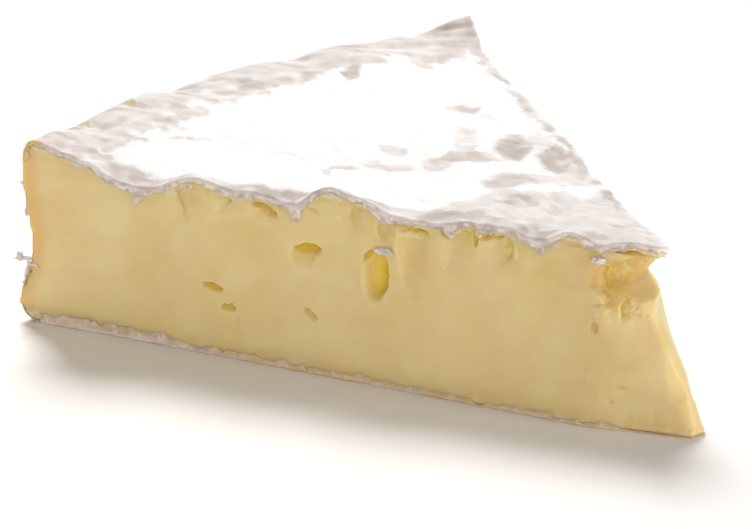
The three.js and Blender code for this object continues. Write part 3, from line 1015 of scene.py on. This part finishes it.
def bloomy_rind():
    """White mould felt: matt and slightly fuzzy, off-white, grey where shade is painted on the top and mottled grey
    on the outside and base, and beige at its cut edge.
    """
    material, tree, shader, place = new_material("bloomy_mould_rind")
    cloud = add_node(tree, "ShaderNodeTexNoise", None, {"Vector": place, "Scale": 1 / (7 * MM), "Detail": 4.0})
    white = two_tone(tree, cloud.outputs["Fac"], 0.3, "f3f0ef", 0.6, "fafafa")
    # Painted shade: grey in the top's dents, at its rim, at the end near the point and beside the cuts; an even grey
    # mottle elsewhere
    grey_and_shade = two_tone(tree, cloud.outputs["Fac"], 0.35, "bbafa7", 0.65, "c8bdb6")
    color = blend(tree, named_value(tree, "grey_and_painted_shade"), white, grey_and_shade)
    blotch = add_node(tree, "ShaderNodeTexNoise", None, {"Vector": place, "Scale": 1 / (1.3 * MM), "Detail": 5.0})
    cut_edge = two_tone(tree, blotch.outputs["Fac"], 0.36, "bcaba5", 0.62, "efe3dc")
    color = blend(tree, named_value(tree, "edge"), color, cut_edge)
    color = blend(tree, named_value(tree, "dry_edge"), color, "dcbd86")
    color = blend(tree, named_value(tree, "tan_mould"), color, "bfa97f")
    felt = add_node(tree, "ShaderNodeTexNoise", None, {"Vector": place, "Scale": 1 / (0.5 * MM), "Detail": 5.0})
    fuzz = add_node(
        tree, "ShaderNodeBump", None,
        {"Height": felt.outputs["Fac"], "Strength": 0.35, "Distance": 0.15 * MM},
    )
    tree.links.new(color, shader.inputs["Base Color"])
    tree.links.new(fuzz.outputs["Normal"], shader.inputs["Normal"])
    shader.inputs["Roughness"].default_value = 0.85
    shader.inputs["Specular IOR Level"].default_value = 0.25
    shader.inputs["Sheen Weight"].default_value = 0.15
    shader.inputs["Sheen Roughness"].default_value = 0.6
    shader.inputs["Subsurface Weight"].default_value = 0.3
    shader.inputs["Subsurface Radius"].default_value = (1.0, 0.85, 0.7)
    shader.inputs["Subsurface Scale"].default_value = 0.6 * MM
    return material


def ripe_paste():
    """Ripe soft cheese: creamy, moist and translucent, with an ochre glow and shade painted into its hollows by
    depth, and painted shade on the break over the point.
    """
    material, tree, shader, place = new_material("ripe_soft_cheese")
    cloud = add_node(tree, "ShaderNodeTexNoise", None, {"Vector": place, "Scale": 1 / (9 * MM), "Detail": 4.0})
    color = two_tone(tree, cloud.outputs["Fac"], 0.3, "e6d095", 0.7, "eddca6")
    color = blend(tree, named_value(tree, "near_skin"), color, "e6c482")
    color = blend(tree, named_value(tree, "smear"), color, "f0ddd2")
    # Painted glow and shade: tears and holes turn a deeper ochre with depth, standing for light scattered and lost
    # inside them
    depth = named_value(tree, "painted_glow_depth")
    shallow = add_node(tree, "ShaderNodeMapRange", None, {"Value": depth, "From Max": 0.5})
    deep = add_node(tree, "ShaderNodeMapRange", None, {"Value": depth, "From Min": 0.4, "From Max": 0.88})
    color = blend(tree, shallow.outputs["Result"], color, "e8d07c")
    color = blend(tree, deep.outputs["Result"], color, "f2d64e")
    # Painted shade: the broken wall over the point's ledge is made darker
    color = blend(tree, named_value(tree, "shaded_break"), color, "d6b471")
    grain = add_node(tree, "ShaderNodeTexNoise", None, {"Vector": place, "Scale": 1 / (0.8 * MM), "Detail": 4.0})
    pores = add_node(
        tree, "ShaderNodeBump", None,
        {"Height": grain.outputs["Fac"], "Strength": 0.2, "Distance": 0.1 * MM},
    )
    tree.links.new(color, shader.inputs["Base Color"])
    tree.links.new(pores.outputs["Normal"], shader.inputs["Normal"])
    shader.inputs["Roughness"].default_value = 0.42
    shader.inputs["IOR"].default_value = 1.45
    shader.inputs["Subsurface Weight"].default_value = 0.9
    shader.inputs["Subsurface Radius"].default_value = (1.0, 0.62, 0.25)
    shader.inputs["Subsurface Scale"].default_value = 3.0 * MM
    return material


def floor():
    """A wide pale table top."""
    bpy.ops.mesh.primitive_plane_add(size=6)
    top = bpy.context.object
    top.name = "table_top"
    material = bpy.data.materials.new("matt_white_board")
    material.use_nodes = True
    shader = material.node_tree.nodes["Principled BSDF"]
    shader.inputs["Base Color"].default_value = srgb("f5f3f1")
    shader.inputs["Roughness"].default_value = 0.7
    top.data.materials.append(material)


CAMERA_AZIMUTH = math.radians(48.6)
CAMERA_ELEVATION = math.radians(21.38)
CAMERA_DISTANCE = 750 * MM
CAMERA_TARGET = WHEEL_CENTRE + Vector((-55.14, -14.04, 15.0)) * MM


def direction(azimuth, elevation):
    """Unit vector towards a light or camera; azimuth 0 is at the front, and 90 at the point's side."""
    flat = math.cos(elevation)
    return Vector((math.sin(azimuth) * flat, -math.cos(azimuth) * flat, math.sin(elevation)))


def camera():
    data = bpy.data.cameras.new("camera")
    data.sensor_width = 36
    data.lens = 213.9
    data.clip_end = 20
    made = bpy.data.objects.new("camera", data)
    bpy.context.scene.collection.objects.link(made)
    back = direction(CAMERA_AZIMUTH, CAMERA_ELEVATION)
    made.location = CAMERA_TARGET + back * CAMERA_DISTANCE
    made.rotation_euler = (-back).to_track_quat("-Z", "Y").to_euler()
    bpy.context.scene.camera = made


def soft_light(name, azimuth, elevation, distance, size, power, color):
    """A square soft box that faces the cheese."""
    data = bpy.data.lights.new(name, "AREA")
    data.shape = "SQUARE"
    data.size = size
    data.energy = power
    data.color = srgb(color)[:3]
    made = bpy.data.objects.new(name, data)
    bpy.context.scene.collection.objects.link(made)
    towards = direction(math.radians(azimuth), math.radians(elevation))
    made.location = towards * distance
    made.rotation_euler = (-towards).to_track_quat("-Z", "Y").to_euler()


def lights():
    soft_light("key_behind", 241, 48, 1.6, 0.6, 26, "ffffff")
    soft_light("fill_front", 48, 12, 1.8, 1.3, 13, "fff3e6")
    soft_light("edge_right", 118, 12, 1.3, 0.4, 6, "ffffff")
    world = bpy.data.worlds.new("soft_room")
    world.use_nodes = True
    background = world.node_tree.nodes["Background"]
    background.inputs["Color"].default_value = srgb("fffaf6")
    background.inputs["Strength"].default_value = 0.28
    bpy.context.scene.world = world
    bpy.context.scene.view_settings.view_transform = "Standard"


rng = random.Random(SEED)
FRONT.update(holes=FRONT_HOLES, tears=FRONT_TEARS, flakes=FRONT_FLAKES)
BACK.update(holes=back_holes(rng), tears=back_tears(rng), flakes=[])

bpy.ops.object.select_all(action="DESELECT")
plain = plain_copy("plain_wedge")
plain_tree = tree_of([plain])
plain_levels = [(size, lie_on_cut(FRONT, at, size)) for at, size in PLAIN_HOLES]
move_points(plain, fill_holes)
plain_tree = tree_of([plain])
skin = bare_skin("skin_only")
skin_tree = tree_of([skin])
for helper in (plain, skin):
    bpy.data.objects.remove(helper)

white_rind = rind()
soft_paste = paste()
tufts_and_glints = [lump(FRONT, at, size, tilt, out, 40 + i) for i, (at, size, tilt, out) in enumerate(FRONT_TUFTS_AND_GLINTS)]
paint(soft_paste, "painted_glow_depth", painted_glow_depth)
paint(soft_paste, "near_skin", near_skin)
paint(soft_paste, "smear", smear)
paint(soft_paste, "shaded_break", shaded_break)
join([white_rind] + tufts_and_glints)
for piece, slot, material in (
    (white_rind, "bloomy_rind", bloomy_rind()),
    (soft_paste, "soft_cheese", ripe_paste()),
):
    piece.data.materials.clear()
    piece.data.materials.append(material)
    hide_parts(CAD_NODE)
    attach(piece, "root")
    print("SIZE", piece.name, len(piece.data.vertices), sum(len(f.vertices) - 2 for f in piece.data.polygons))

floor()
lights()
camera()
